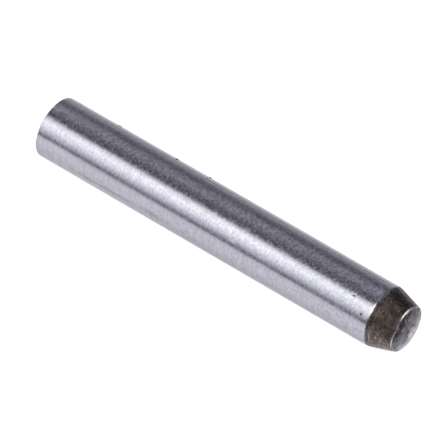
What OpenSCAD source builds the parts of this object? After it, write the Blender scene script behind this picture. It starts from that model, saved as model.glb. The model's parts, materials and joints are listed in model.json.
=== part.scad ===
// Hardened and ground dowel pin.
// The pin lies along X with its tapered lead towards +X, and +Z is up.
// The origin is on the axis, halfway along the cylindrical shank.
// All sizes are in millimetres and all angles in degrees.

/* [Shank] */
// Diameter of the ground shank
pin_d = 6; // [4:0.1:10]
// Length between the two rims, which leaves out both crowns
pin_length = 40; // [20:1:80]

/* [Lead end] */
// Length of the taper that starts the pin in its hole
lead_length = 2.45; // [1:0.05:4]
// Slope of the taper against the axis
lead_angle = 16.5; // [10:0.5:20]
// Radius of the crowned face at the lead end
lead_crown_r = 6; // [5.5:0.1:20]
// Radius that breaks the edge between the shank and the taper
shoulder_edge_r = 1.1; // [0.1:0.05:1.5]
// Radius that breaks the rim between the taper and the crown
lead_edge_r = 0.1; // [0.05:0.01:0.3]

/* [Tail end] */
// Radius of the crowned face at the tail end
tail_crown_r = 6; // [5.5:0.1:20]
// Radius that breaks the rim between the shank and the crown
tail_edge_r = 0.15; // [0.05:0.01:0.5]

/* [Hidden] */
$fn = 180;
// Narrow bands that make up each broken edge
edge_bands = 6;
steel_color = [0.64, 0.64, 0.68];

// The half section has x along the axis and y as the radius.
pin_r = pin_d / 2;
lead_rim_r = pin_r - lead_length * tan(lead_angle);
shank_length = pin_length - lead_length;
tail_rim = [-shank_length / 2, pin_r];
shoulder = [shank_length / 2, pin_r];
lead_rim = [shoulder.x + lead_length, lead_rim_r];

// Along the taper towards the lead end, and straight out of it
taper_along = [cos(lead_angle), -sin(lead_angle)];
taper_out = [sin(lead_angle), cos(lead_angle)];

// Each crown's centre is on the axis, so that the crown would meet the sharp rim.
tail_crown_c = [tail_rim.x + leg(tail_crown_r, tail_rim.y), 0];
lead_crown_c = [lead_rim.x - leg(lead_crown_r, lead_rim.y), 0];

// Each edge's centre is one edge radius inside both of the surfaces beside it.
tail_edge_c = [tail_crown_c.x - leg(tail_crown_r - tail_edge_r, pin_r - tail_edge_r),
               pin_r - tail_edge_r];
shoulder_edge_c = shoulder - shoulder_edge_r * [tan(lead_angle / 2), 1];
lead_edge_from = lead_rim - lead_edge_r * taper_out;
lead_edge_c = lead_edge_from + taper_along
    * run_to_circle(lead_edge_from - lead_crown_c, taper_along, lead_crown_r - lead_edge_r);

// Third side of a right triangle, from its longest side and one other
function leg(longest, other) = sqrt(longest * longest - other * other);

// How far a point inside a circle about the origin is from it in one direction
function run_to_circle(from, way, r) =
    sqrt(pow(from * way, 2) - from * from + r * r) - from * way;

// Angle of a direction, counted from the axis
function heading(v) = atan2(v.y, v.x);

// Corners of the bands that wrap an edge's circle between two headings
function edge_corners(centre, r, from, to) =
    let (step = (to - from) / edge_bands, corner_r = r / cos(step / 2))
    [for (i = [0 : edge_bands - 1])
        let (a = from + (i + 0.5) * step)
        centre + corner_r * [cos(a), sin(a)]];

// The same for a crown's rim, where the last band runs on to a point on the axis
function end_corners(corners) =
    let (p = corners[edge_bands - 2], q = corners[edge_bands - 1])
    [for (i = [0 : edge_bands - 1])
        i < edge_bands - 1 ? corners[i] : [q.x + (q.x - p.x) * q.y / (p.y - q.y), 0]];

function reversed(list) = [for (i = [len(list) - 1 : -1 : 0]) list[i]];

tail_corners = end_corners(
    edge_corners(tail_edge_c, tail_edge_r, 90, heading(tail_edge_c - tail_crown_c)));
shoulder_corners = edge_corners(shoulder_edge_c, shoulder_edge_r, 90, heading(taper_out));
lead_corners = end_corners(
    edge_corners(lead_edge_c, lead_edge_r,
                 heading(taper_out), heading(lead_edge_c - lead_crown_c)));

// What is turned away outside a crown, out past the blank's point
module crown_waste(centre, r, point) {
    run = point.x - centre.x;
    // The block is taller than the blank and lower than the circle.
    block = [abs(run) + 1, (r + pin_r) / 2];
    translate(centre)
        difference() {
            translate([run > 0 ? 0 : -block.x, 0]) square(block);
            circle(r);
        }
}

// Half of the pin's section: the pointed blank, with its two ends crowned
module half_section() {
    difference() {
        polygon(concat(reversed(tail_corners), shoulder_corners, lead_corners));
        crown_waste(tail_crown_c, tail_crown_r, tail_corners[edge_bands - 1]);
        crown_waste(lead_crown_c, lead_crown_r, lead_corners[edge_bands - 1]);
    }
}

// The whole pin, turned and ground from one bar
module dowel_pin() {
    color(steel_color)
        rotate([0, 90, 0])
            rotate_extrude()
                mirror([1, -1]) half_section();
}

dowel_pin();
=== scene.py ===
"""A ground steel dowel pin: satin shank, dark tapered lead and crowned ends, on a plain studio floor."""

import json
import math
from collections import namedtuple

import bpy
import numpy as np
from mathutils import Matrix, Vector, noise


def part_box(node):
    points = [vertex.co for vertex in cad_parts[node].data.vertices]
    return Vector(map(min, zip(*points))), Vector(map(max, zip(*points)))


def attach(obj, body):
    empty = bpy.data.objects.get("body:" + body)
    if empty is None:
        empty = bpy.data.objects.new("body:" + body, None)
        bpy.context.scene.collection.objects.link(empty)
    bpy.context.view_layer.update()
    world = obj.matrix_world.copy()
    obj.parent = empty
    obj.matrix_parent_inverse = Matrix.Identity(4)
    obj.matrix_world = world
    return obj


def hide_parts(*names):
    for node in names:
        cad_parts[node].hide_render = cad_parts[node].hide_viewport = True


bl_info = {
    "name": "Ground Dowel Pin",
    "version": (1, 0, 0),
    "blender": (4, 5, 0),
    "location": "3D View > Sidebar > Dowel Pin",
    "description": "Turns a dowel pin with a tapered lead and crowned ends, in a plain studio",
    "category": "Add Mesh",
}

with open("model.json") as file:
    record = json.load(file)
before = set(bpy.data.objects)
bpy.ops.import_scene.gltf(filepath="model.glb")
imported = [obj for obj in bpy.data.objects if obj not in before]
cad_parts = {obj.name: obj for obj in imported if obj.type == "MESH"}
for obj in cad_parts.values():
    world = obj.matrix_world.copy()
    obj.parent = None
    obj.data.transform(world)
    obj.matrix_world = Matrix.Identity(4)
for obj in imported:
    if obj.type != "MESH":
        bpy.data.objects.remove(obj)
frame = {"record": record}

MM = 0.001
NODE = "dowel_pin"
BODY = "root"

# The pin's fixed sizes, in millimetres, as the frame has them.
LOW_CORNER, HIGH_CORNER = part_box(NODE)
TAIL_TIP = LOW_CORNER.x / MM
LEAD_TIP = HIGH_CORNER.x / MM
PIN_RADIUS = frame["record"]["mounts"][0]["dims"]["r_mm"]


# ------------ Settings ------------


def number_setting(name, description, values, **units):
    """A number, given as its default, least and most."""
    default, low, high = values
    return bpy.props.FloatProperty(
        name=name, description=description, default=default, min=low, max=high, **units
    )


def length_setting(name, description, *sizes):
    """A size that is given in millimetres and set in the scene's length unit."""
    metres = [size * MM for size in sizes]
    return number_setting(name, description, metres, subtype="DISTANCE", unit="LENGTH", precision=5)


def angle_setting(name, description, *degrees):
    """An angle that is given in degrees."""
    turns = [math.radians(angle) for angle in degrees]
    return number_setting(name, description, turns, subtype="ANGLE", unit="ROTATION")


def share_setting(name, description, default, high=1.0):
    """A plain number from nought up."""
    return number_setting(name, description, (default, 0.0, high), subtype="FACTOR")


def colour_setting(name, where, default):
    """A linear colour with its own swatch; where says what has it."""
    description = "Colour of " + where
    return bpy.props.FloatVectorProperty(
        name=name, description=description, default=default, min=0.0, max=1.0, size=3, subtype="COLOR"
    )


class DowelPinForm(bpy.types.PropertyGroup):
    """Sizes of the pin's two ends and of the marks in its surface."""

    lead_length: length_setting("Lead length", "Length of the tapered lead", 2.45, 1.0, 4.0)
    lead_angle: angle_setting("Lead angle", "Slope of the lead to the pin's axis", 16.5, 10.0, 20.0)
    lead_crown_radius: length_setting("Lead crown", "Radius of the lead end's crown", 6.0, 5.5, 20.0)
    tail_crown_radius: length_setting("Tail crown", "Radius of the tail end's crown", 6.0, 5.5, 20.0)
    shoulder_edge: length_setting("Shoulder edge", "Rounding between shank and lead", 1.1, 0.1, 1.5)
    lead_edge: length_setting("Lead edge", "Rounding between lead and crown", 0.1, 0.05, 0.3)
    tail_edge: length_setting("Tail edge", "Rounding between shank and tail crown", 0.15, 0.05, 0.5)
    turning_depth: length_setting("Turning depth", "Depth of the lead's relief", 0.003, 0.0, 0.02)
    crown_relief: length_setting("Crown relief", "Unevenness of the crowned faces", 0.006, 0.0, 0.03)
    rim_unevenness: length_setting("Rim unevenness", "Draws the lead out on one side", 0.14, 0.0, 0.3)
    mark_depth: share_setting("Mark depth", "Depth of the pits and grit, as a share", 1.0, 2.0)


class DowelPinFinish(bpy.types.PropertyGroup):
    """Colours and surface of the ground steel and of the dark scale on the ends."""

    steel: colour_setting("Ground steel", "the ground shank", (0.605, 0.60, 0.663))
    steel_roughness: share_setting("Steel roughness", "Blur of the ground shank's reflections", 0.23)
    grinding_depth: length_setting("Grinding depth", "Depth of the grinding lines", 0.0075, 0.0, 0.1)
    # The haze colour also paints a sheen beside the shoulder.
    haze: colour_setting("Haze", "the thin grey haze", (0.30, 0.33, 0.30))
    rust: colour_setting("Rust", "the brown smudges", (0.16, 0.115, 0.095))
    soot: colour_setting("Soot", "the dark pits and spots", (0.05, 0.045, 0.045))
    scale_brown: colour_setting("Brown scale", "the lead's thick scale", (0.165, 0.122, 0.108))
    scale_olive: colour_setting("Olive scale", "the lead's thin scale", (0.170, 0.158, 0.098))
    scale_worn: colour_setting("Rubbed scale", "the lead where it is rubbed", (0.42, 0.37, 0.36))
    scale_dark: colour_setting("Dark scale", "the darkest scale", (0.046, 0.032, 0.024))
    # The bare colour also paints the glint along the lead's rim.
    bare: colour_setting("Bare rim", "the lead's rubbed rim and lines", (0.80, 0.76, 0.78))
    violet: colour_setting("Violet", "the tinge of heated steel", (0.115, 0.095, 0.145))
    scale_roughness: share_setting("Scale roughness", "Blur of the scale's reflections", 0.38)
    crown: colour_setting("Crown", "the crowned faces", (0.27, 0.26, 0.275))
    # The bare crown colour also paints a sheen on the lead crown's lower side and a glint along its rim.
    crown_rub_and_sheen: colour_setting("Bare crown", "the crowns' rubbed places", (0.82, 0.80, 0.85))
    crown_olive: colour_setting("Olive crown", "the crowns' olive patches", (0.27, 0.27, 0.215))
    crown_rust: colour_setting("Brown crown", "the crowns' brown patches", (0.28, 0.22, 0.225))
    # The crown stain also paints the shade inside the lead crown's rim.
    crown_stain_and_shade: colour_setting("Crown stain", "the crowns' dark smears", (0.035, 0.032, 0.04))


class DowelPinStudio(bpy.types.PropertyGroup):
    """Floor, light and backdrop."""

    floor: colour_setting("Floor", "the floor", (0.80, 0.80, 0.80))
    floor_fill: share_setting("Floor fill", "Light that lifts the floor to white", 0.74)
    sheet: colour_setting("Sheet", "the pale sheet that the steel mirrors", (0.50, 0.475, 0.51))
    bench: colour_setting("Bench", "the bench beyond the sheet", (0.22, 0.22, 0.25))
    mirror_fill: share_setting("Mirror fill", "Light that lifts the sheet seen in the steel", 0.50)
    surround: share_setting("Surround", "Strength of the light all round", 1.0, 4.0)
    key: share_setting("Key light", "Strength of the light in front and above", 0.12, 5.0)
    back: share_setting("Back light", "Strength of the light behind and above", 0.10, 5.0)
    lamp_size: angle_setting("Lamp size", "Width of each lamp as the pin sees it", 14.0, 0.0, 90.0)


# ------------ Node wiring ------------


# The sockets that a Mix node has for colours; it has others of the same names for numbers.
MIX_FACTOR, MIX_UNDER, MIX_OVER, MIX_RESULT = 0, 6, 7, 2
# The range that most of a noise pattern lies in.
NOISE_RANGE = (0.3, 0.7)
WHITE = (1.0, 1.0, 1.0, 1.0)


class Wiring:
    """Adds nodes to one tree and joins them. An input takes another node's socket or a plain value."""

    def __init__(self, tree):
        self.tree = tree

    def feed(self, socket, value):
        """Links a socket to an input, or sets the input's value."""
        if isinstance(value, bpy.types.NodeSocket):
            self.tree.links.new(value, socket)
        else:
            socket.default_value = value

    def add(self, kind, inputs=(), **settings):
        """A new node with its settings. Its inputs are given in order, or by name or number."""
        node = self.tree.nodes.new(kind)
        for name, value in settings.items():
            setattr(node, name, value)
        pairs = inputs.items() if isinstance(inputs, dict) else enumerate(inputs)
        for key, value in pairs:
            self.feed(node.inputs[key], value)
        return node

    def math(self, operation, *values, clamp=False):
        """The result of one sum."""
        return self.add("ShaderNodeMath", values, operation=operation, use_clamp=clamp).outputs[0]

    def vector(self, *parts):
        """Three numbers as a vector."""
        return self.add("ShaderNodeCombineXYZ", parts).outputs[0]

    def parts(self, vector):
        """A vector's three numbers."""
        return self.add("ShaderNodeSeparateXYZ", (vector,)).outputs

    def times(self, first, second):
        """The product of two numbers."""
        return self.math("MULTIPLY", first, second)

    def spread(self, value, low, high, to_low=0.0, to_high=1.0, **settings):
        """Runs straight from to_low to to_high as value goes from low to high."""
        inputs = {"Value": value, "From Min": low, "From Max": high, "To Min": to_low, "To Max": to_high}
        return self.add("ShaderNodeMapRange", inputs, **settings).outputs["Result"]

    def ease(self, *values):
        """As spread, but with soft ends."""
        return self.spread(*values, interpolation_type="SMOOTHSTEP")

    def scaled(self, vector, scale):
        """A vector made longer or shorter."""
        inputs = {0: vector, "Scale": scale}
        return self.add("ShaderNodeVectorMath", inputs, operation="SCALE").outputs[0]

    def grain(self, place, detail):
        """A noise pattern, from 0 to 1."""
        inputs = {"Vector": place, "Scale": 1.0, "Detail": detail}
        return self.add("ShaderNodeTexNoise", inputs).outputs["Fac"]

    def colour(self, amount, under, over):
        """One colour laid over another."""
        inputs = {MIX_FACTOR: amount, MIX_UNDER: rgba(under), MIX_OVER: rgba(over)}
        return self.add("ShaderNodeMix", inputs, data_type="RGBA").outputs[MIX_RESULT]

    def glowing(self, colour, glow):
        """A matt shader of one colour that also gives off plain white light."""
        matt = self.add("ShaderNodeBsdfDiffuse", {"Color": rgba(colour)}).outputs[0]
        light = self.add("ShaderNodeEmission", {"Color": WHITE, "Strength": glow}).outputs[0]
        return self.add("ShaderNodeAddShader", (matt, light)).outputs[0]

    def mixed_shader(self, share, first, second):
        """One shader giving way to another as share goes from 0 to 1."""
        return self.add("ShaderNodeMixShader", (share, first, second)).outputs[0]

    def use(self, group, **inputs):
        """Places a node group."""
        return self.add("ShaderNodeGroup", inputs, node_tree=group, label=group.name).outputs


def rgba(colour):
    """A colour with its alpha, or a socket as it is."""
    if isinstance(colour, bpy.types.NodeSocket):
        return colour
    return (*tuple(colour)[:3], 1.0)


# The space for a node in the editor.
COLUMN_WIDTH, ROW_HEIGHT = 220, 260


def arrange(tree):
    """Sets the nodes out in columns, each to the left of what it feeds."""
    column = {node.name: 0 for node in tree.nodes}
    for _ in tree.nodes:
        for link in tree.links:
            wanted = column[link.to_node.name] + 1
            column[link.from_node.name] = max(column[link.from_node.name], wanted)
    filled = {}
    for node in tree.nodes:
        place = column[node.name]
        filled[place] = filled.get(place, 0) + 1
        node.location = (-COLUMN_WIDTH * place, -ROW_HEIGHT * filled[place])


def emptied_tree(holder):
    """The node tree of a new material or world, without the nodes that it comes with."""
    holder.use_nodes = True
    holder.node_tree.nodes.clear()
    return holder.node_tree


def new_group(name, inputs, outputs):
    """An empty node group. Its inputs have numbers as their values, or None for a vector."""
    tree = bpy.data.node_groups.new(name, "ShaderNodeTree")
    for socket_name, value in inputs.items():
        kind = VECTOR if value is None else NUMBER
        socket = tree.interface.new_socket(name=socket_name, in_out="INPUT", socket_type=kind)
        if value is not None:
            socket.default_value = value
    for socket_name, kind in outputs.items():
        tree.interface.new_socket(name=socket_name, in_out="OUTPUT", socket_type=kind)
    wiring = Wiring(tree)
    return wiring, wiring.add("NodeGroupInput").outputs, wiring.add("NodeGroupOutput").inputs


NUMBER = "NodeSocketFloat"
VECTOR = "NodeSocketVector"


def pin_place_group():
    """Where a point of the pin lies, in millimetres and degrees."""
    outputs = {"Point": VECTOR, "Along": NUMBER, "Radius": NUMBER, "Around": NUMBER}
    wiring, _, out = new_group("Pin Place", {}, outputs)
    point = wiring.scaled(wiring.add("ShaderNodeTexCoord").outputs["Object"], 1.0 / MM)
    x, y, z = wiring.parts(point)
    squares = wiring.math("ADD", wiring.times(y, y), wiring.times(z, z))
    turn = wiring.math("ARCTAN2", z, wiring.times(y, -1.0))
    wiring.feed(out["Point"], point)
    wiring.feed(out["Along"], x)
    wiring.feed(out["Radius"], wiring.math("SQRT", squares))
    wiring.feed(out["Around"], wiring.math("DEGREES", turn))
    return wiring.tree


def tool_lines_group():
    """Fine lines that run round the pin, from the wheel on the shank and the tool on the ends."""
    inputs = {"Point": None, "Across": 0.0, "Pitch": 0.2, "Length": 1.0, "Detail": 1.0, "Seed": 0.0}
    wiring, given, out = new_group("Tool Lines", inputs, {"Height": NUMBER})
    _, y, z = wiring.parts(given["Point"])
    place = wiring.vector(
        wiring.math("ADD", wiring.math("DIVIDE", given["Across"], given["Pitch"]), given["Seed"]),
        wiring.math("DIVIDE", y, given["Length"]),
        wiring.math("DIVIDE", z, given["Length"]),
    )
    wiring.feed(out["Height"], wiring.grain(place, given["Detail"]))
    return wiring.tree


def blotches_group():
    """Soft-edged spots of one size: a mask that is 1 inside a spot."""
    inputs = {"Point": None, "Size": 1.0, "Detail": 2.0, "Low": 0.5, "High": 0.7, "Seed": 0.0}
    wiring, given, out = new_group("Blotches", inputs, {"Mask": NUMBER})
    place = wiring.scaled(given["Point"], wiring.math("DIVIDE", 1.0, given["Size"]))
    shift = wiring.vector(given["Seed"], given["Seed"], given["Seed"])
    moved = wiring.add("ShaderNodeVectorMath", (place, shift), operation="ADD")
    spots = wiring.grain(moved.outputs[0], given["Detail"])
    wiring.feed(out["Mask"], wiring.ease(spots, given["Low"], given["High"]))
    return wiring.tree


# The least and the most that a patch's ragged edge leaves of a mark.
RAGGED_GAIN = (0.55, 1.35)


def patch_group():
    """Breaks up the soft edge of a mark, so that it looks stained or rubbed."""
    inputs = {"Point": None, "Share": 0.0, "Grain": 0.3}
    wiring, given, out = new_group("Patch", inputs, {"Mask": NUMBER})
    place = wiring.scaled(given["Point"], wiring.math("DIVIDE", 1.0, given["Grain"]))
    gain = wiring.spread(wiring.grain(place, 2.0), *NOISE_RANGE, *RAGGED_GAIN)
    wiring.feed(out["Mask"], wiring.math("MULTIPLY", given["Share"], gain, clamp=True))
    return wiring.tree


# ------------ Materials ------------


class Skin(Wiring):
    """The wiring of one of the pin's finishes, with the effects that the finishes share."""

    def __init__(self, name, effects):
        self.material = bpy.data.materials.new(name)
        super().__init__(emptied_tree(self.material))
        self.effects = effects
        self.place = self.use(effects["place"])
        self.shader = self.add("ShaderNodeBsdfPrincipled", {"Metallic": 1.0})
        self.add("ShaderNodeOutputMaterial", {"Surface": self.shader.outputs[0]})

    def effect(self, name, **inputs):
        """One of the shared effects, at the point that is shaded."""
        return self.use(self.effects[name], Point=self.place["Point"], **inputs)[0]

    def lines(self, across, pitch, length, detail, seed=0.0):
        """Height of the lines that a wheel or a tool leaves; across is the way that they lie in."""
        across = self.place[across]
        return self.effect("lines", Across=across, Pitch=pitch, Length=length, Detail=detail, Seed=seed)

    def blotches(self, size, detail, low, high, seed):
        """Mask of soft-edged spots."""
        return self.effect("blotches", Size=size, Detail=detail, Low=low, High=high, Seed=seed)

    def marked(self, kind, grain):
        """How much of one kind of mark lies at a point, with ragged edges of the given grain (mm)."""
        share = self.add("ShaderNodeAttribute", attribute_name=kind).outputs["Fac"]
        return self.effect("patch", Share=share, Grain=grain)

    def marks_over(self, colour, *layers):
        """A colour with marks laid over it, each layer a kind, its grain and its colour."""
        for kind, grain, over in layers:
            colour = self.colour(self.marked(kind, grain), colour, over)
        return colour

    def dress(self, colour, roughness, height, depth):
        """Feeds the shader, and gives back the finished material."""
        bump = self.add("ShaderNodeBump", {"Strength": 1.0, "Distance": depth, "Height": height})
        fed = {"Base Color": colour, "Roughness": roughness, "Normal": bump.outputs["Normal"]}
        for name, value in fed.items():
            self.feed(self.shader.inputs[name], value)
        return self.material


# Greys over the ground steel, and how strongly the hairs, clouds and specks show; the grain's pale grey
# also paints glints on the top.
HAIR_GREY, HAIR_SHARE = (0.30, 0.30, 0.33), 0.30
CLOUD_GREY, CLOUD_SHARE = (0.90, 0.90, 0.96), 0.10
SPECK_GREY, SPECK_SHARE = (0.12, 0.12, 0.14), 0.35
GRAIN_AND_GLINT_GREYS = ((0.20, 0.20, 0.23), (0.92, 0.91, 0.98))
RUBBED_STEEL = (0.95, 0.95, 1.00)
# How the share of grain changes: from here to there, by how much before and after. The first two are
# in degrees up from the front, the others in millimetres along the pin. Its rise over the top, in the
# band that mirrors the dark room, also paints glints there.
GLINT_GRAIN_ON_TOP = (60.0, 78.0, 0.20, 0.44)
GRAIN_LOST_BEHIND = (90.0, 105.0, 0.0, 0.18)
GRAIN_GAINED_BY_LEAD = (13.0, 17.5, 0.0, 0.10)
GRAIN_LEFT_BY_TAIL = (-20.0, 4.0, 0.80, 1.0)
# The height of hairs and grain beside that of the grinding lines.
FINE_HEIGHT = 0.20
# The grain's middle range, and how much smoother and rougher the steel gets over it.
GRAIN_RANGE = (0.38, 0.68)
SMOOTHER, ROUGHER = 0.03, 0.04


def ground_steel_material(finish, effects):
    """The satin shank: fine lines round it from the grinding wheel, grain that is partly painted glints
    on its top, specks and small pits.
    """
    skin = Skin("Ground Shank", effects)
    along, around = skin.place["Along"], skin.place["Around"]
    lines = skin.lines("Along", pitch=0.22, length=0.70, detail=1.0)
    hairs = skin.lines("Along", pitch=0.10, length=2.0, detail=1.0, seed=31.0)
    grains = skin.lines("Along", pitch=0.22, length=0.26, detail=2.0, seed=57.0)
    clouds = skin.blotches(size=0.7, detail=2.0, low=0.30, high=0.70, seed=43.0)
    specks = skin.blotches(size=0.16, detail=1.0, low=0.66, high=0.78, seed=7.0)
    steel = skin.colour(skin.spread(hairs, *NOISE_RANGE, 0.0, HAIR_SHARE), finish.steel, HAIR_GREY)
    steel = skin.colour(skin.times(clouds, CLOUD_SHARE), steel, CLOUD_GREY)
    # Grain mottle, rising over the top: partly grain, partly painted glints in the dark band there.
    mottle = skin.colour(skin.spread(grains, *NOISE_RANGE), *GRAIN_AND_GLINT_GREYS)
    share = skin.ease(around, *GLINT_GRAIN_ON_TOP)
    share = skin.math("SUBTRACT", share, skin.ease(around, *GRAIN_LOST_BEHIND))
    share = skin.math("ADD", share, skin.ease(along, *GRAIN_GAINED_BY_LEAD))
    share = skin.times(share, skin.ease(along, *GRAIN_LEFT_BY_TAIL))
    steel = skin.colour(share, steel, mottle)
    steel = skin.colour(skin.times(specks, SPECK_SHARE), steel, SPECK_GREY)
    steel = skin.marks_over(
        steel,
        ("haze", 0.5, finish.haze),
        ("rust", 0.4, finish.rust),
        ("bare", 0.3, RUBBED_STEEL),
        ("soot", 0.2, finish.soot),
    )
    height = skin.math("ADD", lines, skin.times(hairs, FINE_HEIGHT))
    height = skin.math("ADD", height, skin.times(grains, FINE_HEIGHT))
    smooth, rough = finish.steel_roughness - SMOOTHER, finish.steel_roughness + ROUGHER
    roughness = skin.spread(grains, *GRAIN_RANGE, smooth, rough)
    return skin.dress(steel, roughness, height, finish.grinding_depth)


# The thin oil film on the lead's scale.
OIL_WEIGHT, OIL_ROUGHNESS = 0.35, 0.3
# How dull the scaled ends stay where they are seen at a slant.
LEAD_SLANT = (0.87, 0.90, 0.94)
CROWN_SLANT = (0.65, 0.65, 0.68)
# Depth of the lines in the scale.
SCALE_LINE_DEPTH = 0.003 * MM
# The share of thin olive scale in its patches.
OLIVE_SHARE = 0.4
# How noise turns into worn streaks and into dark grain: from here to there, by how much at each.
STREAK_SPREAD = (0.48, 0.74, 0.0, 0.75)
DARK_SPREAD = (0.36, 0.56, 1.0, 0.0)
# The share of pale flecks and of dark grain, from the front to the top (degrees, then shares).
FLECKS_UP = (45.0, 65.0, 0.20, 0.34)
DARK_UP = (45.0, 65.0, 0.80, 0.90)
# Roughness of the rubbed places.
BARE_ROUGHNESS = 0.28


def scale_material(finish, effects):
    """The lead's dark heat-treatment scale over turning lines, rubbed bright at places on its rim, where
    the bright line also paints the rim's glint.
    """
    skin = Skin("Scaled Lead", effects)
    around = skin.place["Around"]
    lines = skin.lines("Along", pitch=0.16, length=2.0, detail=2.0)
    streaks = skin.lines("Along", pitch=0.17, length=0.9, detail=2.0, seed=5.0)
    grains = skin.lines("Along", pitch=0.20, length=0.20, detail=2.0, seed=71.0)
    flecks = skin.blotches(size=0.24, detail=2.0, low=0.50, high=0.68, seed=13.0)
    olive = skin.blotches(size=0.8, detail=3.0, low=0.40, high=0.65, seed=3.0)
    scale = skin.colour(skin.times(olive, OLIVE_SHARE), finish.scale_brown, finish.scale_olive)
    scale = skin.colour(skin.ease(streaks, *STREAK_SPREAD), scale, finish.scale_worn)
    pale = skin.times(flecks, skin.ease(around, *FLECKS_UP))
    scale = skin.colour(pale, scale, finish.scale_worn)
    dark = skin.times(skin.ease(grains, *DARK_SPREAD), skin.ease(around, *DARK_UP))
    scale = skin.colour(dark, scale, finish.scale_dark)
    scale = skin.marks_over(
        scale,
        ("olive", 0.3, finish.scale_olive),
        ("rust", 0.3, finish.rust),
        ("violet", 0.3, finish.violet),
        ("haze", 0.3, finish.haze),
        ("soot", 0.25, finish.scale_dark),
    )
    # Rubbed places, and along the rim a painted glint.
    bare = skin.marked("bare", 0.15)
    scale = skin.colour(bare, scale, finish.bare)
    skin.shader.inputs["Coat Weight"].default_value = OIL_WEIGHT
    skin.shader.inputs["Coat Roughness"].default_value = OIL_ROUGHNESS
    skin.shader.inputs["Specular Tint"].default_value = rgba(LEAD_SLANT)
    roughness = skin.spread(bare, 0.0, 1.0, finish.scale_roughness, BARE_ROUGHNESS)
    return skin.dress(scale, roughness, lines, SCALE_LINE_DEPTH)


# How much the crowns' mottling darkens them, and their roughness without and under it.
MOTTLE_SHARE = 0.45
CROWN_ROUGHNESS = (0.35, 0.45)


def crown_material(finish, effects):
    """The crowned ends: grey steel under thin scale, mottled and smeared, with a painted shade inside
    the lead crown's rim and a painted sheen on its lower side.
    """
    skin = Skin("Crowned End", effects)
    lines = skin.lines("Radius", pitch=0.2, length=1.5, detail=2.0)
    mottle = skin.blotches(size=0.9, detail=3.0, low=0.35, high=0.70, seed=21.0)
    crown = skin.colour(skin.times(mottle, MOTTLE_SHARE), finish.crown, finish.crown_stain_and_shade)
    # Over the mottling: bare marks that paint a sheen and a rim glint, soot marks that paint shade
    # inside the rim.
    crown = skin.marks_over(
        crown,
        ("olive", 0.3, finish.crown_olive),
        ("rust", 0.3, finish.crown_rust),
        ("bare", 0.3, finish.crown_rub_and_sheen),
        ("violet", 0.25, finish.violet),
        ("soot", 0.25, finish.crown_stain_and_shade),
    )
    skin.shader.inputs["Specular Tint"].default_value = rgba(CROWN_SLANT)
    roughness = skin.spread(mottle, 0.0, 1.0, *CROWN_ROUGHNESS)
    return skin.dress(crown, roughness, lines, SCALE_LINE_DEPTH)


# ------------ The pin's shape ------------

# The faces' finishes, by the material slots of the body.
SHANK, LEAD, CROWN = range(3)

Station = namedtuple("Station", "along radius lean finish")
MARK_PARTS = "finish kind across around length width amount turn depth"
Mark = namedtuple("Mark", MARK_PARTS, defaults=(0.0, 0.0))

# The kinds of mark, each a share at every point of the skin: dark soot, which also paints shade inside
# the lead crown's rim, thin olive scale, grey haze, partly a painted sheen beside the shoulder, brown
# rust, the violet tinge of heated steel and bare rubbed steel, which also paints a sheen on the crown
# and glints on the lead's rim.
KINDS = ("soot", "olive", "haze", "rust", "violet", "bare")


def marks(finish, kind, *rows):
    """Marks of one kind on one finish."""
    return [Mark(finish, kind, *row) for row in rows]
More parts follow.
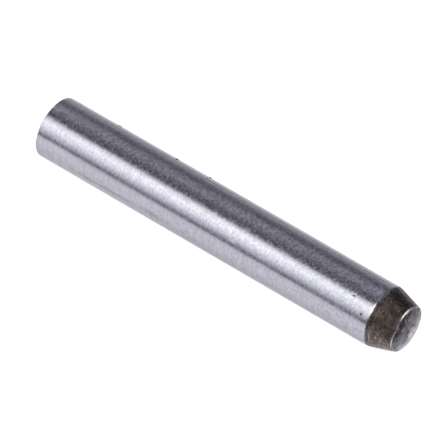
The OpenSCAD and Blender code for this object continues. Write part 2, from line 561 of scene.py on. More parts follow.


# Marks listed as across, around, length, width, amount, turn and depth. Across is the place along the
# pin, or the distance from its axis on the lead's crown. Around is in degrees up from the front. Length
# (along, or outwards) and width are half sizes. Turn is the slant of the long side in degrees, and depth
# is less than nought for grit that stands proud. Lengths are in millimetres.
MARKS = (
    # Pits of the shank, long dark streaks low on its front, and grit on its top
    *marks(
        SHANK, "soot",
        (16.52, 59.9, 0.13, 0.1, 0.85, 0, 0.02), (17.98, 36.8, 0.1, 0.13, 1, 0, 0.02),
        (8.94, 83.6, 0.2, 0.07, 0.75, 70, 0.012), (8.1, 89.6, 0.1, 0.09, 0.6, 0, 0.012),
        (-6.26, 131, 0.14, 0.2, 1.7, 0, -0.08), (-2.49, 122, 0.12, 0.12, 0.9, 0, -0.02),
        (-2.66, 138, 0.13, 0.18, 1.4, 0, -0.075), (-12.95, 134.5, 0.13, 0.18, 1.5, 0, -0.075),
        (-17.26, 124.8, 0.12, 0.1, 0.7, 0, 0.012), (-9.8, -6.5, 2.3, 0.2, 0.3),
        (-12.7, -6.8, 1.7, 0.18, 0.3), (-5.2, -2.5, 1.5, 0.28, 0.25, -4), (18.8, 68, 0.14, 0.22, 0.8),
        (18.85, 18, 0.08, 0.42, 0.6),
    ),
    # Its pale specks and streaks
    *marks(
        SHANK, "bare",
        (-11.5, -18, 7.5, 0.42, 0.25), (-16.5, 22, 2.3, 0.45, 0.14), (-16.5, 98, 3, 1.2, 0.12),
        (18.74, 77, 0.09, 0.42, 0.7), (18.36, 87, 0.28, 0.26, 0.55), (18.08, 79, 0.22, 0.17, 0.5),
        (17.65, 78, 0.2, 0.17, 0.45), (18.05, 90, 0.22, 0.2, 0.35), (13.7, 80, 0.17, 0.17, 0.45),
        (9.35, 79, 0.15, 0.16, 0.55), (6.75, 76, 0.16, 0.17, 0.55), (3.6, 35, 0.17, 0.17, 0.55),
        (-12, 97, 0.18, 0.2, 0.4), (-13.65, 28, 0.18, 0.2, 0.45),
    ),
    # Its grey specks and haze; the haze beside the shoulder is partly a painted sheen of the shoulder's
    # rounding
    *marks(
        SHANK, "haze",
        (14.5, 46, 5, 0.8, 0.09), (18.8, 91, 0.26, 0.6, 0.48), (15.8, 68, 0.15, 0.17, 0.8),
        (14.1, 69, 0.15, 0.17, 0.8), (4.2, 65, 0.17, 0.17, 0.8), (7.85, 82, 0.15, 0.16, 0.8),
        (12.75, 56, 0.16, 0.17, 0.5), (0, 56, 0.16, 0.17, 0.45), (-17.5, 81, 0.17, 0.18, 0.8),
        (-7.5, 64, 8, 0.2, 0.3),
    ),
    # A smudge beside the shoulder
    *marks(
        SHANK, "rust",
        (18.55, 28, 0.18, 0.16, 0.22, 30),
    ),
    # Dark border and patches of the lead
    *marks(
        LEAD, "soot",
        (19, 34, 0.15, 0.85, 0.8), (19.06, 66, 0.14, 0.6, 0.5), (19.14, 2, 0.13, 0.55, 0.65),
        (19.16, 82, 0.14, 0.55, 0.5), (19.2, 108, 0.15, 0.5, 0.6), (19.02, 78, 0.12, 0.3, 0.4),
        (20.05, 61, 1.1, 1.05, 0.3), (19.43, 44, 0.15, 0.2, 0.8), (20.75, 51, 0.25, 0.28, 0.65),
        (19.85, 20, 0.45, 0.24, 0.45), (19.7, 107, 0.5, 0.5, 0.8), (20.6, 103, 0.5, 0.55, 0.85),
        (19.95, 79, 0.13, 0.13, 0.8), (19.8, 60, 0.15, 0.13, 0.75), (20.65, 66, 0.4, 0.45, 0.4),
        (19.7, 43, 0.45, 0.28, 0.4), (20.08, 50, 0.2, 0.24, 1), (20.62, 61, 0.3, 0.45, 1.05),
        (20.35, 71, 0.6, 0.28, 0.95), (20.8, 91, 0.18, 0.22, 0.6), (19.8, 101, 0.48, 0.28, 1),
        (20.68, 16, 0.65, 0.5, 0.95), (20.85, -4, 0.35, 0.45, 0.4), (19.1, 15, 0.08, 0.3, 0.6),
        (20.95, 86, 0.22, 0.35, 0.6), (20.9, 70, 0.24, 0.3, 0.6), (20.34, 38, 0.2, 0.2, 0.6),
        (20.8, 27, 0.25, 0.2, 0.6), (20.95, 12, 0.25, 0.3, 0.5), (20.96, 4, 0.18, 0.26, 0.7),
        (21.04, 20, 0.14, 0.28, 0.7), (19.7, -2, 0.35, 0.55, 0.35), (20.05, 143, 1.5, 0.5, 1.3),
        (19.98, 40, 0.14, 0.18, 0.5), (20.3, 80, 0.14, 0.18, 0.6), (19.7, 10, 0.5, 0.26, 0.4),
        (21.11, -1, 0.05, 0.4, 0.8), (21.25, 57, 0.08, 0.26, 0.9),
    ),
    # Where the lead is rubbed: thin lines, small spots and its rim, whose bright line also stands in for
    # the rim's glint as a painted highlight
    *marks(
        LEAD, "bare",
        (18.9, 109, 0.11, 0.4, 0.2), (18.93, 54, 0.07, 0.55, 0.14), (19.23, 0, 0.06, 0.6, 0.4),
        (18.84, 101, 0.12, 0.85, 0.3), (20.4, 57.5, 0.3, 0.25, 0.05), (20.35, 84, 0.3, 0.22, 0.06),
        (20.6, 80, 0.12, 0.15, 0.12), (20.38, 121, 0.22, 0.25, 0.12), (19.25, 50, 0.07, 0.3, 0.12),
        (19.8, 4.3, 0.11, 0.1, 0.35), (20.26, 0.3, 0.12, 0.1, 0.3), (20.99, -6, 0.05, 0.3, 0.4),
        (19.4, 130, 0.6, 0.26, 0.06), (19.24, 88, 0.08, 0.28, 0.14), (20.45, 10, 0.14, 0.24, 0.1),
        (20.98, 130, 0.18, 0.28, 0.1), (19.2, -20, 0.32, 0.36, 0.07), (20.28, -20, 0.22, 0.34, 0.08),
        (19.9, -31, 1, 0.4, 0.06), (19.72, 31, 0.24, 0.24, 0.08), (21.23, 88, 0.06, 0.72, 1.2),
        (21.23, 110, 0.05, 0.4, 0.55), (21.23, 48, 0.05, 0.3, 0.35), (21.23, 28, 0.05, 0.35, 0.55),
        (21.23, 4, 0.06, 0.7, 0.8),
    ),
    # Its other tints
    *marks(
        LEAD, "haze",
        # Partly a painted sheen of the shoulder's rounding.
        (18.94, 84, 0.16, 0.6, 0.5),
    ),
    *marks(
        LEAD, "olive",
        (19.72, 72, 0.45, 0.48, 0.8),
    ),
    *marks(
        LEAD, "rust",
        (19.95, 92, 0.16, 0.2, 0.6), (20.1, 46, 0.45, 0.4, 0.6),
    ),
    *marks(
        LEAD, "violet",
        (21.02, 57, 0.2, 0.5, 0.6),
    ),
    # The lead's crown: dark inside its rim on its upper side, a painted shade, with a smear at its
    # middle
    *marks(
        CROWN, "soot",
        (2.03, 76, 0.15, 0.48, 1.3), (1.97, 56, 0.28, 0.45, 1.3), (1.82, 38, 0.32, 0.45, 1.15),
        (1.88, 22, 0.26, 0.36, 0.95), (2.13, 32, 0.12, 0.45, 1), (2.12, 14, 0.12, 0.35, 0.9),
        (0.45, 30, 0.24, 0.28, 0.45), (1.92, 98, 0.2, 0.45, 0.9), (1.2, 79, 0.3, 0.26, 0.55),
        (1.85, -18, 0.4, 0.34, 0.3), (1.8, 63, 0.22, 0.34, 1.5), (1.78, 82, 0.22, 0.3, 1.1),
        (1.55, 62, 0.32, 0.3, 0.8), (1.7, 92, 0.3, 0.4, 0.65), (1.8, 55, 0.36, 0.35, 1.3),
        (2, 31, 0.24, 0.32, 1.2), (1.45, 30, 0.28, 0.3, 0.8), (0.97, 92, 0.16, 0.3, 0.45),
        (0.55, 110, 0.2, 0.35, 0.4), (1.55, 80, 0.38, 0.22, 0.8), (0.6, 152, 0.16, 0.3, 0.65),
        (2.07, 3, 0.17, 0.34, 0.8), (0.92, -78, 0.18, 0.24, 0.45), (1.72, 119, 0.34, 0.36, 0.5),
        (1.7, 3, 0.5, 0.36, 0.48), (1.16, 61, 0.14, 0.16, 0.7),
    ),
    # Its rubbed rim, which also stands in for the rim's glint as a painted highlight, and its pale lower
    # side, a painted sheen
    *marks(
        CROWN, "bare",
        (2.18, 86, 0.09, 0.65, 1.2), (2.19, 138, 0.08, 0.5, 0.6), (2.18, -30, 0.08, 0.5, 0.5),
        (1.65, -163, 0.6, 0.38, 1.3), (1.98, 156, 0.3, 0.3, 0.45), (1.78, 140, 0.3, 0.24, 0.25),
        (1.95, -170, 0.4, 0.4, 0.7), (0.45, 175, 0.22, 0.3, 0.8), (0.48, -110, 0.3, 0.35, 1),
        (1.3, -120, 0.9, 1.15, 1.1), (1.8, -75, 0.55, 0.8, 0.95), (1.8, -42, 0.45, 0.32, 0.4),
        (0.62, -80, 0.18, 0.2, 0.9), (0.32, -48, 0.18, 0.24, 0.85), (1.75, -130, 0.55, 0.9, 0.7),
        (1.5, 178, 0.7, 0.55, 0.4), (0.15, 150, 0.4, 0.4, 0.3),
    ),
    # Its other tints
    *marks(
        CROWN, "olive",
        (1.25, 60, 0.24, 0.26, 0.6), (1.45, 84, 0.34, 0.32, 0.95), (1.05, 82, 0.34, 0.32, 0.7),
        (1.35, 168, 0.5, 0.4, 0.6),
    ),
    *marks(
        CROWN, "violet",
        (0.45, 34, 0.2, 0.28, 0.6), (0.34, 47, 0.17, 0.22, 1), (0.34, 0, 0.2, 0.26, 0.75),
        (0.5, -38, 0.15, 0.2, 0.85), (0.86, 56, 0.16, 0.14, 0.5), (0.57, 128, 0.15, 0.22, 0.5),
    ),
    *marks(
        CROWN, "rust",
        (1.53, 111, 0.26, 0.26, 0.7), (1.6, 10, 0.3, 0.35, 0.45),
    ),
)

# The share of the shoulder's rounding that is ground bright, before the scale starts.
SCALE_START = 0.68
# Where the lead's rim is drawn out: middle and half width of the place, in degrees up from the front.
RIM_SIDE = (42.0, 31.0)
# How many steps the outline takes over each of its parts.
TAIL_CROWN_STEPS = 26
TAIL_EDGE_STEPS = 8
BRIGHT_SHOULDER_STEPS = 5
SCALED_SHOULDER_STEPS = 4
LEAD_STEPS = 63
LEAD_EDGE_STEPS = 9
LEAD_CROWN_STEPS = 36
# Steps along the shank and round the pin: the widest, the narrowest and how fast they widen, and how
# many stay narrow beside a pit.
STEPS_ALONG = (0.45, 0.045, 0.35)
STEPS_ROUND = (0.12, 0.045, 0.35)
NARROW_STEPS = 4
# How flat a mark's middle is, and so how steep its edge.
MARK_POWER = 1.5
# How deep under the plane that touches the skin at a mark it is whole, and how soon it fades below.
MARK_REACH, MARK_FADE = 1.5, 0.5
# The tightest bend that a mark follows round the pin.
LEAST_BEND = 0.1
# The distance from a rim or a tip at which the relief is whole.
RELIEF_FADE = 0.25
# Relief of the lead: pitch and length of its turning lines, size of its dents and their share.
TURNING_LINES = (0.11, 2.2)
DENT_SIZE, DENT_SHARE = 0.5, 0.8
# Relief of the crowns: pitch and size of their hollows and of their waves, with the place of the waves
# in the noise, and the share of the hollows.
HOLLOWS = (1.0, 0.45)
WAVES = (1.0, 1.1, 9.0)
HOLLOW_SHARE = 0.6


class Outline:
    """The half section of the pin, in millimetres, as stations from the tail's tip to the lead's."""

    def __init__(self, form):
        self.slope = form.lead_angle
        self.tail_crown = form.tail_crown_radius / MM
        self.lead_crown = form.lead_crown_radius / MM
        self.shoulder_edge = form.shoulder_edge / MM
        self.lead_edge = form.lead_edge / MM
        self.tail_edge = form.tail_edge / MM
        lead_length = form.lead_length / MM
        self.rim_radius = PIN_RADIUS - lead_length * math.tan(self.slope)
        crown_height = self.lead_crown - math.sqrt(self.lead_crown**2 - self.rim_radius**2)
        self.lead_rim = LEAD_TIP - crown_height
        self.shoulder = self.lead_rim - lead_length
        self.stations = self.tail() + self.shank() + self.lead() + self.crown()

    def arc(self, along, radius, size, lean_from, lean_to, steps, finish):
        """Stations round an arc, its first left out: lean is the outward normal's tilt to the lead."""
        leans = np.linspace(lean_from, lean_to, steps + 1)[1:]
        return [
            Station(along + size * math.sin(lean), radius + size * math.cos(lean), lean, finish)
            for lean in leans
        ]

    def line(self, start, end, steps, finish):
        """Stations on a straight run, its first left out."""
        lean = math.atan2(start[1] - end[1], end[0] - start[0])
        return [
            Station(start[0] + (end[0] - start[0]) * t, start[1] + (end[1] - start[1]) * t, lean, finish)
            for t in np.linspace(0.0, 1.0, steps + 1)[1:]
        ]

    def tail(self):
        """From the tail's tip over its crown and round its edge."""
        crown, edge = self.tail_crown, self.tail_edge
        centre = TAIL_TIP + crown
        edge_radius = PIN_RADIUS - edge
        spread = math.asin(edge_radius / (crown - edge))
        self.tail_edge_end = centre - (crown - edge) * math.cos(spread)
        corner = spread - math.pi / 2
        stations = self.arc(centre, 0.0, crown, -math.pi / 2, corner, TAIL_CROWN_STEPS, CROWN)
        return stations + self.arc(
            self.tail_edge_end, edge_radius, edge, corner, 0.0, TAIL_EDGE_STEPS, SHANK
        )

    def shank(self):
        """Along the ground shank and round the shoulder, closer together where there are pits."""
        self.shank_end = self.shoulder - self.shoulder_edge * math.tan(self.slope / 2)
        pits = [mark.across for mark in MARKS if mark.depth != 0.0]
        places = close_steps(self.tail_edge_end, self.shank_end, pits, *STEPS_ALONG)
        stations = [Station(place, PIN_RADIUS, 0.0, SHANK) for place in places[1:]]
        centre = (self.shank_end, PIN_RADIUS - self.shoulder_edge)
        scale_lean = SCALE_START * self.slope
        for lean_from, lean_to, steps, finish in (
            (0.0, scale_lean, BRIGHT_SHOULDER_STEPS, SHANK),
            (scale_lean, self.slope, SCALED_SHOULDER_STEPS, LEAD),
        ):
            stations += self.arc(*centre, self.shoulder_edge, lean_from, lean_to, steps, finish)
        return stations

    def lead(self):
        """Down the tapered lead and round its small end."""
        edge = self.lead_edge
        lean = (math.sin(self.slope), math.cos(self.slope))
        run = (math.cos(self.slope), -math.sin(self.slope))
        start = (
            self.shank_end + self.shoulder_edge * lean[0],
            PIN_RADIUS - self.shoulder_edge * (1 - lean[1]),
        )
        # The edge's centre lies on a line inside the lead, where it is as far inside the crown.
        centre = LEAD_TIP - self.lead_crown
        inner = (self.shoulder - edge * lean[0] - centre, PIN_RADIUS - edge * lean[1])
        half = inner[0] * run[0] + inner[1] * run[1]
        rest = inner[0] ** 2 + inner[1] ** 2 - (self.lead_crown - edge) ** 2
        reach = -half + math.sqrt(half**2 - rest)
        corner = (inner[0] + centre + reach * run[0], inner[1] + reach * run[1])
        end = (corner[0] + edge * lean[0], corner[1] + edge * lean[1])
        self.crown_lean = math.atan2(corner[0] - centre, corner[1])
        stations = self.line(start, end, LEAD_STEPS, LEAD)
        return stations + self.arc(*corner, edge, self.slope, self.crown_lean, LEAD_EDGE_STEPS, LEAD)

    def crown(self):
        """Over the lead's crown to its tip."""
        centre = LEAD_TIP - self.lead_crown
        return self.arc(
            centre, 0.0, self.lead_crown, self.crown_lean, math.pi / 2, LEAD_CROWN_STEPS, CROWN
        )


def close_steps(start, end, targets, wide, narrow, growth):
    """Places from start to end whose steps shrink to narrow beside the targets."""
    places = [start]
    while places[-1] < end:
        here = places[-1]
        gap = min(abs(here - target) for target in (start, end, *targets))
        places.append(here + min(wide, narrow + growth * max(gap - NARROW_STEPS * narrow, 0.0)))
    places[-1] = end
    if places[-1] - places[-2] < narrow / 2:
        places.pop(-2)
    return places


def mark_frame(mark, outline):
    """A mark's middle and the ways outwards along the skin, round the pin and straight off it."""
    turn = math.radians(mark.around)
    round_way = np.array([0.0, math.sin(turn), math.cos(turn)])
    radial = np.array([0.0, -math.cos(turn), math.sin(turn)])
    if mark.finish == CROWN:
        lean = math.acos(mark.across / outline.lead_crown)
        along = LEAD_TIP - outline.lead_crown * (1.0 - math.sin(lean))
        radius, run_sign = mark.across, -1.0
    else:
        lean = outline.slope if mark.finish == LEAD else 0.0
        along = mark.across
        radius, run_sign = PIN_RADIUS - max(0.0, along - outline.shoulder) * math.tan(lean), 1.0
    axis = np.array([1.0, 0.0, 0.0])
    run = (math.cos(lean) * axis - math.sin(lean) * radial) * run_sign
    off = math.sin(lean) * axis + math.cos(lean) * radial
    return along * axis + radius * radial, run, round_way, off


def mark_fields(points, outline, form):
    """Depth that the marks leave at the points, and the share of each kind of mark there."""
    depth = np.zeros(points.shape[:-1])
    shares = {kind: np.zeros(depth.shape) for kind in KINDS}
    for mark in MARKS:
        middle, run, round_way, off = mark_frame(mark, outline)
        angle = math.radians(mark.turn)
        gap = points - middle
        along, across, away = gap @ run, gap @ round_way, gap @ off
        # A wide mark follows the curve of the skin, so its distance round is taken on the arc.
        bend = np.hypot(points[..., 1], points[..., 2])
        across = np.where(mark.finish == CROWN, across, across_arc(across, away, bend))
        u = (along * math.cos(angle) + across * math.sin(angle)) / mark.length
        v = (across * math.cos(angle) - along * math.sin(angle)) / mark.width
        w = np.maximum(0.0, -away - MARK_REACH) / MARK_FADE
        bowl = np.exp(-((u * u + v * v + w * w) ** MARK_POWER))
        depth += mark.depth * bowl
        shares[mark.kind] = np.maximum(shares[mark.kind], mark.amount * bowl)
    return depth * form.mark_depth, shares


def across_arc(across, away, bend):
    """Distance round the skin for points given by their distance across a tangent and off it."""
    bend = np.maximum(bend, LEAST_BEND)
    return bend * np.arctan2(across, bend + away)


def lumps(along, y, z, pitch, size, shift=0.0):
    """Noise of one pitch along the pin and one size across it."""
    return noise.noise(Vector((along / pitch + shift, y / size, z / size)))


def relief(station, angle, form):
    """How far the surface stands proud of its true form at one point, in mm."""
    place = station.along, -math.cos(angle) * station.radius, math.sin(angle) * station.radius
    if station.finish == LEAD:
        dents = lumps(*place, DENT_SIZE, DENT_SIZE)
        return (lumps(*place, *TURNING_LINES) + DENT_SHARE * dents) * form.turning_depth / MM
    if station.finish == CROWN:
        return (HOLLOW_SHARE * lumps(*place, *HOLLOWS) + lumps(*place, *WAVES)) * form.crown_relief / MM
    return 0.0


def uneven_rim(along, radius, angles, outline, form):
    """Points along and out from the axis, with the lead drawn out a little on one side of its rim."""
    middle, half = math.radians(RIM_SIDE[0]), math.radians(RIM_SIDE[1])
    reach = form.rim_unevenness / MM * np.exp(-(((angles - middle) / half) ** 2))
    rim_radius = outline.rim_radius
    on_lead = np.clip((along - outline.shoulder) / (outline.lead_rim - outline.shoulder), 0.0, 1.0)
    on_crown = np.clip(radius / rim_radius, 0.0, 1.0)
    share = np.where(along < outline.lead_rim, on_lead, on_crown)
    drawn = reach * share
    return along + drawn, radius * (1.0 - drawn * math.tan(outline.slope) / rim_radius)


def fade_at_edges(stations, outline):
    """A share for each station, 0 on the lead's two rims and at the tips, so that relief dies out."""
    shares = []
    for station in stations:
        gaps = [abs(station.along - outline.shoulder), abs(station.along - outline.lead_rim)]
        shares.append(min(1.0, min(*gaps, station.radius) / RELIEF_FADE))
    return np.array(shares)


def ring_points(along, radius, angles):
    """Points at places along the pin and out from its axis, at each of the angles round it."""
    y, z = -np.cos(angles) * radius, np.sin(angles) * radius
    return np.stack([along + np.zeros(y.shape), y, z], axis=-1)


def skin_faces(stations, across):
    """Faces from each ring of points to the next, with a fan at each tip, and the finish of each."""
    starts = [1 + row * across for row in range(len(stations))]
    first, last = 0, starts[-1] + across
    steps = [(i, (i + 1) % across) for i in range(across)]
    faces = [(first, starts[0] + i, starts[0] + j) for i, j in steps]
    finishes = [CROWN] * across
    for here, there, station in zip(starts, starts[1:], stations[1:]):
        faces += [(here + i, there + i, there + j, here + j) for i, j in steps]
        finishes += [station.finish] * across
    faces += [(starts[-1] + i, last, starts[-1] + j) for i, j in steps]
    finishes += [CROWN] * across
    return faces, finishes


def pin_mesh(form, outline):
    """The pin's skin as rings of points round its axis, closed by a fan at each tip."""
    turns = [math.radians(mark.around) % (2 * math.pi) for mark in MARKS if mark.depth != 0.0]
    pits = [turn * PIN_RADIUS for turn in turns]
    arcs = np.array(close_steps(0.0, 2 * math.pi * PIN_RADIUS, pits, *STEPS_ROUND)[:-1])
    angles = arcs / PIN_RADIUS
    stations = outline.stations[:-1]
    along, radius, lean = np.array([station[:3] for station in stations]).T[:, :, None]
    depth, marked = mark_fields(ring_points(along, radius, angles), outline, form)
    proud = np.array([[relief(station, angle, form) for angle in angles] for station in stations])
    proud = proud * fade_at_edges(stations, outline)[:, None] - depth
    along, radius = uneven_rim(along, radius, angles, outline, form)
    points = ring_points(along + proud * np.sin(lean), radius + proud * np.cos(lean), angles)
    points = np.concatenate([[[TAIL_TIP, 0.0, 0.0]], points.reshape(-1, 3), [[LEAD_TIP, 0.0, 0.0]]])
    faces, finishes = skin_faces(stations, len(angles))
    mesh = bpy.data.meshes.new("pin_body")
    mesh.from_pydata((points * MM).tolist(), [], faces)
    mesh.polygons.foreach_set("material_index", finishes)
    mesh.polygons.foreach_set("use_smooth", [True] * len(faces))
    for kind, share in marked.items():
        shade = mesh.attributes.new(kind, "FLOAT", "POINT")
        tips = share[0].mean(), share[-1].mean()
        shade.data.foreach_set("value", np.array([tips[0], *share.reshape(-1), tips[1]], np.float32))
    mesh.update()
    return mesh


# ------------ The studio ------------

# The light round the pin's axis: angle up from the front (degrees), brightness, blueness.
SURROUND = (
    (-60, 0.6, 0.06), (-1, 0.3, 0.2), (1, 0.07, 0.5), (4.5, 0.09, 0.45), (9, 0.5, 0.18), (18, 0.78, 0.1),
    (32, 1.2, 0.05), (49, 1.55, 0), (60, 1.32, 0), (65.3, 1.06, 0.02), (70.3, 0.45, 0.08),
    (74.8, 0.07, 0.25), (84, 0.06, 0.35), (97, 0.18, 0.22), (112, 0.29, 0.13), (127, 0.33, 0.13),
    (137, 0.23, 0.16), (145, 0.12, 0.18), (160, 0.22, 0.14), (170, 0.34, 0.09), (180, 0.63, 0.04),
)
# The same by the panel's bright edge, past it on the lead's side, and off the lead's end by a window.
PANEL_EDGE = (
    (-60, 0.5, 0.05), (12, 0.12, 0.1), (28, 0.9, 0.02), (36, 2.6, 0), (72, 3, 0), (82, 0.9, 0.02),
    (92, 0.14, 0.1), (150, 0.16, 0.1),
)
FAR_SURROUND = (
    (-60, 0.5, 0.05), (1, 0.14, 0.08), (20, 0.15, 0.04), (50, 0.135, 0.02), (65, 0.15, 0),
    (95, 0.135, 0.02), (125, 0.16, 0.12), (150, 0.1, 0.2), (170, 0.2, 0.1),
)
END_WINDOW = (
    (-60, 0.45, 0.05), (30, 0.3, 0.1), (62, 0.35, 0.1), (80, 3.2, 0.02), (135, 3.2, 0.02),
    (152, 0.45, 0.05),
)
# Where those three begin and are whole, as the sine of the way's slope to the lead's side.
EDGE_SIDE = (-0.27, -0.22)
FAR_SIDE = (-0.10, -0.04)
WINDOW_SIDE = (0.38, 0.52)
# How the floor changes that the steel mirrors: from here to there (mm), by how much before and after.
# The pale sheet's edges before and behind the pin, across it:
SHEET_FRONT = (-90.0, -60.0, 0.0, 1.0)
SHEET_BACK = (10.0, 70.0, 1.0, 0.0)
# The painted shade of the pin on the mirrored floor, close to it on either side, and behind it:
CLOSE_FLOOR_SHADE = (1.0, 8.5, 0.68, 1.0)
BEHIND_PIN_SHADE = (0.0, 4.0, 1.0, 0.65)
# The open floor beside the lead, where that painted shade isn't laid, along the pin:
OPEN_FLOOR = (LEAD_TIP - 5.6, LEAD_TIP - 2.1, 0.0, 1.0)
# Half the width of the floor, in metres.
FLOOR_HALF = 1.0

# The ways from the pin to the two lamps.
KEY_WAY = (-0.13, -0.637, 0.759)
BACK_WAY = (-0.66, 0.29, 0.69)

# The view: turn round the pin and height over it (degrees), distance and the point looked at (mm),
# and the lens and its sensor (mm).
VIEW_TURN = 38.197
VIEW_HEIGHT = 47.315
VIEW_DISTANCE = 626.79
VIEW_POINT = (0.334, 0.132, -0.095)
LENS = 564.57
SENSOR = 36.0


def level_ramp(wiring, share, levels):
    """A ramp of light levels round the pin's axis."""
    ramp = wiring.add("ShaderNodeValToRGB", {"Fac": share})
    stops = ramp.color_ramp.elements
    stops.remove(stops[1])
    for number, (angle, level, blue) in enumerate(levels):
        position = (angle + 180.0) / 360.0
        stop = stops[0] if number == 0 else stops.new(position)
        stop.position = position
        tint = blue / 2
        stop.color = (level * (1 - tint), level * (1 - tint), level * (1 + tint), 1.0)
    return ramp.outputs["Color"]


def surround_world(studio):
    """A soft panel on the tail's side, a dull room on the lead's, a window, and white to the camera."""
    world = bpy.data.worlds.new("Studio Surround")
    wiring = Wiring(emptied_tree(world))
    ways = wiring.parts(wiring.add("ShaderNodeTexCoord").outputs["Generated"])
    turn = wiring.math("ARCTAN2", ways["Z"], wiring.times(ways["Y"], -1.0))
    share = wiring.spread(turn, -math.pi, math.pi)
    light = level_ramp(wiring, share, SURROUND)
    for begins, levels in ((EDGE_SIDE, PANEL_EDGE), (FAR_SIDE, FAR_SURROUND), (WINDOW_SIDE, END_WINDOW)):
        light = wiring.colour(wiring.ease(ways["X"], *begins), light, level_ramp(wiring, share, levels))
    seen = wiring.add("ShaderNodeLightPath").outputs["Is Camera Ray"]
    lit = wiring.add("ShaderNodeBackground", {"Color": light, "Strength": studio.surround})
    white = wiring.add("ShaderNodeBackground", {"Color": WHITE, "Strength": 1.0})
    both = wiring.mixed_shader(seen, lit.outputs[0], white.outputs[0])
    wiring.add("ShaderNodeOutputWorld", {"Surface": both})
    return world


def floor_material(studio):
    """A matt floor: white with the pin's shadow to the camera, a pale sheet on a bench to the steel,
    with a painted shade of the pin in the sheet's glow.
    """
    material = bpy.data.materials.new("Studio Floor")
    wiring = Wiring(emptied_tree(material))
    path = wiring.add("ShaderNodeLightPath").outputs
    position = wiring.add("ShaderNodeNewGeometry").outputs["Position"]
    along, across, _ = wiring.parts(wiring.scaled(position, 1.0 / MM))
    sheet = wiring.times(wiring.ease(across, *SHEET_FRONT), wiring.ease(across, *SHEET_BACK))
    # The sheet's glow is dimmed close to the pin and behind it: a painted shade, since the glow itself
    # is not shadowed.
    close_shade = wiring.ease(wiring.math("ABSOLUTE", across), *CLOSE_FLOOR_SHADE)
    painted_shade = wiring.times(close_shade, wiring.ease(across, *BEHIND_PIN_SHADE))
    painted_shade = wiring.math("MAXIMUM", painted_shade, wiring.ease(along, *OPEN_FLOOR))
    near = wiring.times(wiring.times(sheet, painted_shade), studio.mirror_fill)
    mirror = wiring.times(near, path["Is Glossy Ray"])
    unseen = wiring.glowing(wiring.colour(sheet, studio.bench, studio.sheet), mirror)
    seen = wiring.glowing(studio.floor, studio.floor_fill)
    both = wiring.mixed_shader(path["Is Camera Ray"], unseen, seen)
    wiring.add("ShaderNodeOutputMaterial", {"Surface": both})
    return material


def place_floor(height, material):
    """A flat floor just under the pin."""
    sides = ((-1, -1), (1, -1), (1, 1), (-1, 1))
    edge = [(FLOOR_HALF * x, FLOOR_HALF * y, height) for x, y in sides]
    mesh = bpy.data.meshes.new("studio_floor")
    mesh.from_pydata(edge, [], [(0, 1, 2, 3)])
    mesh.materials.append(material)
    floor = bpy.data.objects.new("studio_floor", mesh)
    bpy.context.scene.collection.objects.link(floor)


def place_lamps(studio):
    """A key light in front and above, and a weaker back light that picks out the grinding lines."""
    for name, energy, way in (("key_light", studio.key, KEY_WAY), ("back_light", studio.back, BACK_WAY)):
        lamp = bpy.data.lights.new(name, "SUN")
        lamp.energy = energy
        lamp.angle = studio.lamp_size
        holder = bpy.data.objects.new(name, lamp)
        holder.rotation_euler = Vector(way).to_track_quat("Z", "Y").to_euler()
        bpy.context.scene.collection.objects.link(holder)


def place_camera():
    """A long lens that looks down along the pin from the lead's side."""
    turn, height = math.radians(VIEW_TURN), math.radians(VIEW_HEIGHT)
    reach = math.cos(height)
    back = Vector((math.sin(turn) * reach, -math.cos(turn) * reach, math.sin(height)))
    lens = bpy.data.cameras.new("studio_camera")
    lens.lens = LENS
    lens.sensor_width = SENSOR
    camera = bpy.data.objects.new("studio_camera", lens)
    camera.location = (Vector(VIEW_POINT) + back * VIEW_DISTANCE) * MM
    camera.rotation_euler = back.to_track_quat("Z", "Y").to_euler()
    bpy.context.scene.collection.objects.link(camera)
    bpy.context.scene.camera = camera


# ------------ Operators and panel ------------


class DOWELPIN_OT_turn_pin(bpy.types.Operator):
    """Turn the pin's body and give it its finishes"""

    bl_idname = "dowelpin.turn_pin"
    bl_label = "Turn Pin"
    bl_options = {"REGISTER", "UNDO"}

    def execute(self, context):
        form = context.scene.dowel_pin_form
        finish = context.scene.dowel_pin_finish
        outline = Outline(form)
        if outline.shoulder <= outline.tail_edge_end:
            raise ValueError("The lead is longer than the pin: make the lead shorter")
        effects = {
            "place": pin_place_group(),
            "lines": tool_lines_group(),
            "blotches": blotches_group(),
            "patch": patch_group(),
        }
        mesh = pin_mesh(form, outline)
        for make in (ground_steel_material, scale_material, crown_material):
            mesh.materials.append(make(finish, effects))
        for tree in (*effects.values(), *(material.node_tree for material in mesh.materials)):
            arrange(tree)
        body = bpy.data.objects.new("pin_body", mesh)
        context.scene.collection.objects.link(body)
        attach(body, BODY)
        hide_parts(NODE)
        return {"FINISHED"}


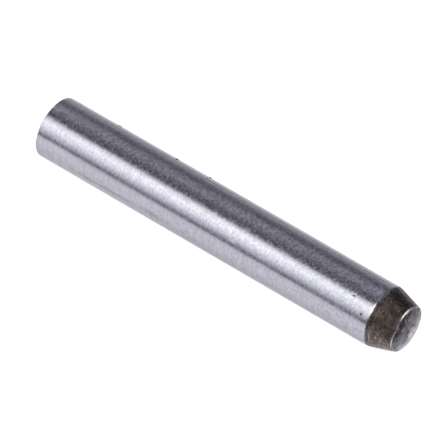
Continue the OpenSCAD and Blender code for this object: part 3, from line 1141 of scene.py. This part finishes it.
class DOWELPIN_OT_set_stage(bpy.types.Operator):
    """Set the floor, the light, the surround and the camera"""

    bl_idname = "dowelpin.set_stage"
    bl_label = "Set Stage"
    bl_options = {"REGISTER", "UNDO"}

    def execute(self, context):
        studio = context.scene.dowel_pin_studio
        floor = floor_material(studio)
        place_floor(LOW_CORNER.z, floor)
        place_lamps(studio)
        place_camera()
        context.scene.world = surround_world(studio)
        for tree in (floor.node_tree, context.scene.world.node_tree):
            arrange(tree)
        context.scene.view_settings.view_transform = "Standard"
        return {"FINISHED"}


class VIEW3D_PT_dowel_pin(bpy.types.Panel):
    """The pin's settings and its operators"""

    bl_label = "Dowel Pin"
    bl_idname = "VIEW3D_PT_dowel_pin"
    bl_space_type = "VIEW_3D"
    bl_region_type = "UI"
    bl_category = "Dowel Pin"

    def draw(self, context):
        layout = self.layout
        layout.use_property_split = True
        for title, name, operator in (
            ("Form", "dowel_pin_form", None),
            ("Finish", "dowel_pin_finish", DOWELPIN_OT_turn_pin.bl_idname),
            ("Studio", "dowel_pin_studio", DOWELPIN_OT_set_stage.bl_idname),
        ):
            box = layout.box()
            box.label(text=title)
            settings = getattr(context.scene, name)
            for key in settings.__annotations__:
                box.prop(settings, key)
            if operator:
                box.operator(operator)


SETTINGS = {
    "dowel_pin_form": DowelPinForm,
    "dowel_pin_finish": DowelPinFinish,
    "dowel_pin_studio": DowelPinStudio,
}
CLASSES = (*SETTINGS.values(), DOWELPIN_OT_turn_pin, DOWELPIN_OT_set_stage, VIEW3D_PT_dowel_pin)


def register():
    for each in CLASSES:
        bpy.utils.register_class(each)
    for name, group in SETTINGS.items():
        setattr(bpy.types.Scene, name, bpy.props.PointerProperty(type=group))


def unregister():
    for name in SETTINGS:
        delattr(bpy.types.Scene, name)
    for each in reversed(CLASSES):
        bpy.utils.unregister_class(each)


def main():
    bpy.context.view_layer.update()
    register()
    bpy.ops.dowelpin.set_stage()
    bpy.ops.dowelpin.turn_pin()


if __name__ == "__main__":
    main()
